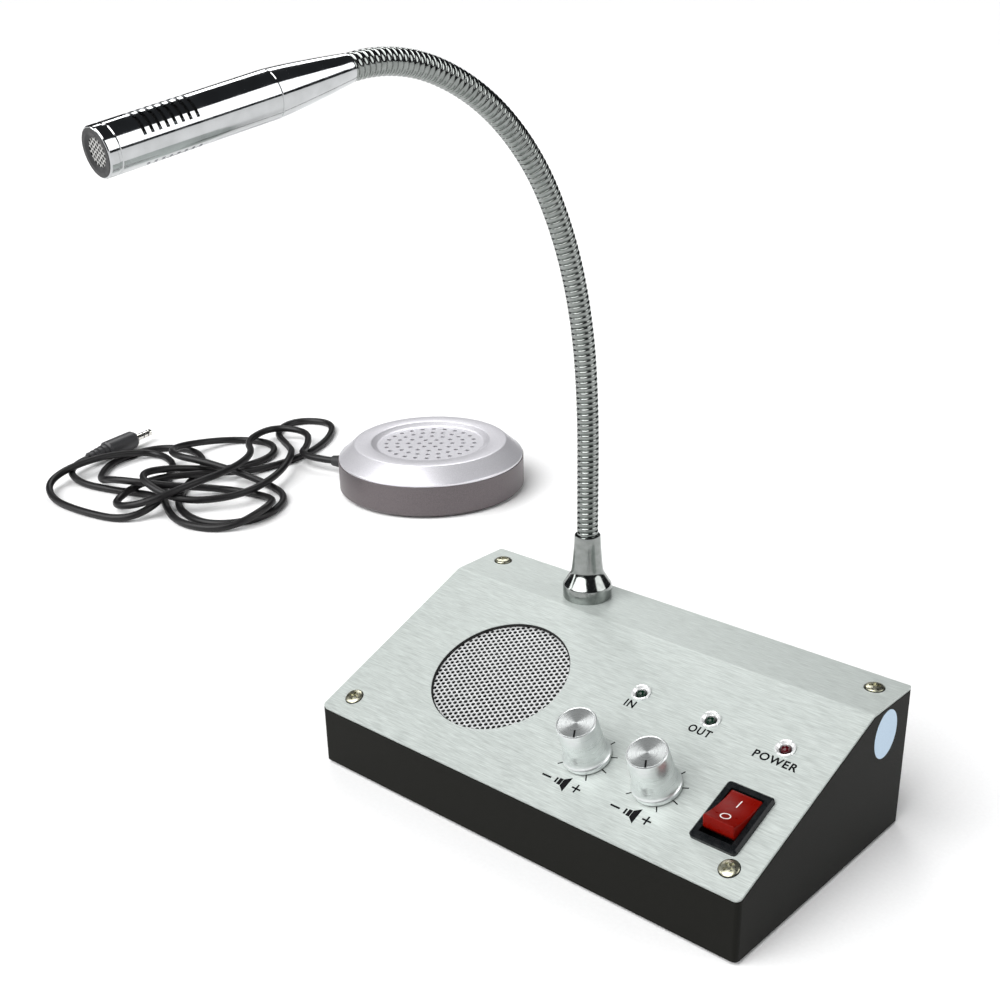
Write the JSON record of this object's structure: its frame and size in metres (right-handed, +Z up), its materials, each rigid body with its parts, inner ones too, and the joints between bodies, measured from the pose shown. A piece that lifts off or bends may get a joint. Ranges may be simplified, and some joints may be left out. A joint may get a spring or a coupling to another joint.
{
  "type": "teller window intercom",
  "caption": "Wedge desk unit with gooseneck microphone, volume knobs, rocker switch and speaker, plus a round window speaker on a plug-in cord.",
  "frame": {"origin": "on the counter, under the middle of the desk unit", "axes": "+Z up, +Y to the rear of the desk unit, +X to its right as the user faces it"},
  "size_m": [0.4807, 0.329, 0.2222],
  "materials": {
    "housing_black": "fine satin grain",
    "rubber_black": "matt",
    "panel_aluminium": "brushed along the panel's width",
    "screw_zinc": "yellow zinc",
    "mesh_steel": "perforated, satin",
    "basket_steel": "black paint",
    "cone_black": "matt",
    "magnet_ferrite": "matt",
    "bright_chrome": "polished",
    "lamp_green": "clear tinted",
    "lamp_red": "clear tinted",
    "black_plastic": "moulded",
    "knob_aluminium": "spun",
    "black_gloss": "glossy",
    "rocker_red": "translucent, glossy",
    "board_green": "lacquered",
    "mesh_dark": "dark, fine perforation",
    "puck_grey": "satin paint",
    "puck_silver": "satin silver paint",
    "cord_grey": "satin",
    "rubber_grey": "satin",
    "plug_grey": "satin"
  },
  "bodies": {
    "desk_unit": {"base_housing": "housing_black", "rubber_feet": "rubber_black", "top_panel": "panel_aluminium", "panel_screws": "screw_zinc", "speaker_mesh": "mesh_steel", "speaker_basket": "basket_steel", "speaker_cone": "cone_black", "speaker_magnet": "magnet_ferrite", "lamp_bezel_in": "bright_chrome", "lamp_bezel_out": "bright_chrome", "lamp_bezel_power": "bright_chrome", "lamp_in": "lamp_green", "lamp_out": "lamp_green", "lamp_power": "lamp_red", "volume_pot_left": "black_plastic", "volume_pot_right": "black_plastic", "pot_nut_left": "bright_chrome", "pot_nut_right": "bright_chrome", "switch_case": "black_gloss", "circuit_board": "board_green", "board_screws": "screw_zinc", "board_components": "black_plastic", "speaker_jack": "black_plastic", "power_inlet": "black_plastic", "neck_flange": "bright_chrome", "neck_nut": "bright_chrome", "puck_base": "puck_grey", "puck_lid": "puck_silver", "puck_screws": "screw_zinc", "puck_pad": "rubber_black", "puck_driver": "cone_black", "puck_magnet": "magnet_ferrite", "puck_capsule": "black_plastic", "cord_gland": "rubber_black", "window_cord": "cord_grey", "plug_boot": "rubber_grey", "plug_body": "plug_grey", "plug_contacts": "bright_chrome", "plug_insulators": "black_plastic", "neck_link_1": "bright_chrome"},
    "volume_left": {"volume_shaft_left": "knob_aluminium", "volume_knob_left": "knob_aluminium"},
    "volume_right": {"volume_shaft_right": "knob_aluminium", "volume_knob_right": "knob_aluminium"},
    "rocker": {"power_rocker": "rocker_red"},
    "neck_2": {"neck_link_2": "bright_chrome"},
    "neck_3": {"neck_link_3": "bright_chrome"},
    "neck_4": {"neck_link_4": "bright_chrome"},
    "neck_5": {"neck_link_5": "bright_chrome"},
    "neck_6": {"neck_link_6": "bright_chrome"},
    "microphone": {"neck_link_7": "bright_chrome", "mic_taper": "bright_chrome", "mic_barrel": "bright_chrome", "mic_mesh": "mesh_dark", "mic_capsule": "black_plastic"}
  },
  "joints": [
    {"name": "volume_left_turn", "type": "hinge", "parent": "desk_unit", "child": "volume_left", "pos_m": [0.014, -0.02378, 0.02924], "axis": [0, -0.3665, 0.9304], "range_deg": [0, 280]},
    {"name": "volume_right_turn", "type": "hinge", "parent": "desk_unit", "child": "volume_right", "pos_m": [0.039, -0.02378, 0.02924], "axis": [0, -0.3665, 0.9304], "range_deg": [0, 280]},
    {"name": "power_rock", "type": "hinge", "parent": "desk_unit", "child": "rocker", "pos_m": [0.064, -0.0237, 0.02906], "axis": [1, 0, 0], "range_deg": [0, 36]},
    {"name": "neck_pitch_1", "type": "hinge", "parent": "desk_unit", "child": "neck_2", "pos_m": [-0.0315, 0.0325, 0.09627], "axis": [0.9945, -0.1045, 0], "range_deg": [-18, 18]},
    {"name": "neck_side_1", "type": "hinge", "parent": "neck_2", "child": "neck_3", "pos_m": [-0.03163, 0.03128, 0.12431], "axis": [-0.1041, -0.9907, -0.0872], "range_deg": [-18, 18]},
    {"name": "neck_pitch_2", "type": "hinge", "parent": "neck_3", "child": "neck_4", "pos_m": [-0.03214, 0.02644, 0.15192], "axis": [0.9945, -0.1045, 0], "range_deg": [-18, 18]},
    {"name": "neck_pitch_3", "type": "hinge", "parent": "neck_4", "child": "neck_5", "pos_m": [-0.0332, 0.01634, 0.17803], "axis": [0.9945, -0.1045, 0], "range_deg": [-18, 18]},
    {"name": "neck_side_2", "type": "hinge", "parent": "neck_5", "child": "neck_6", "pos_m": [-0.03496, -0.00038, 0.20034], "axis": [-0.072, -0.6846, -0.7254], "range_deg": [-18, 18]},
    {"name": "neck_pitch_4", "type": "hinge", "parent": "neck_6", "child": "microphone", "pos_m": [-0.03742, -0.02384, 0.21523], "axis": [0.9945, -0.1045, 0], "range_deg": [-18, 18]}
  ]
}
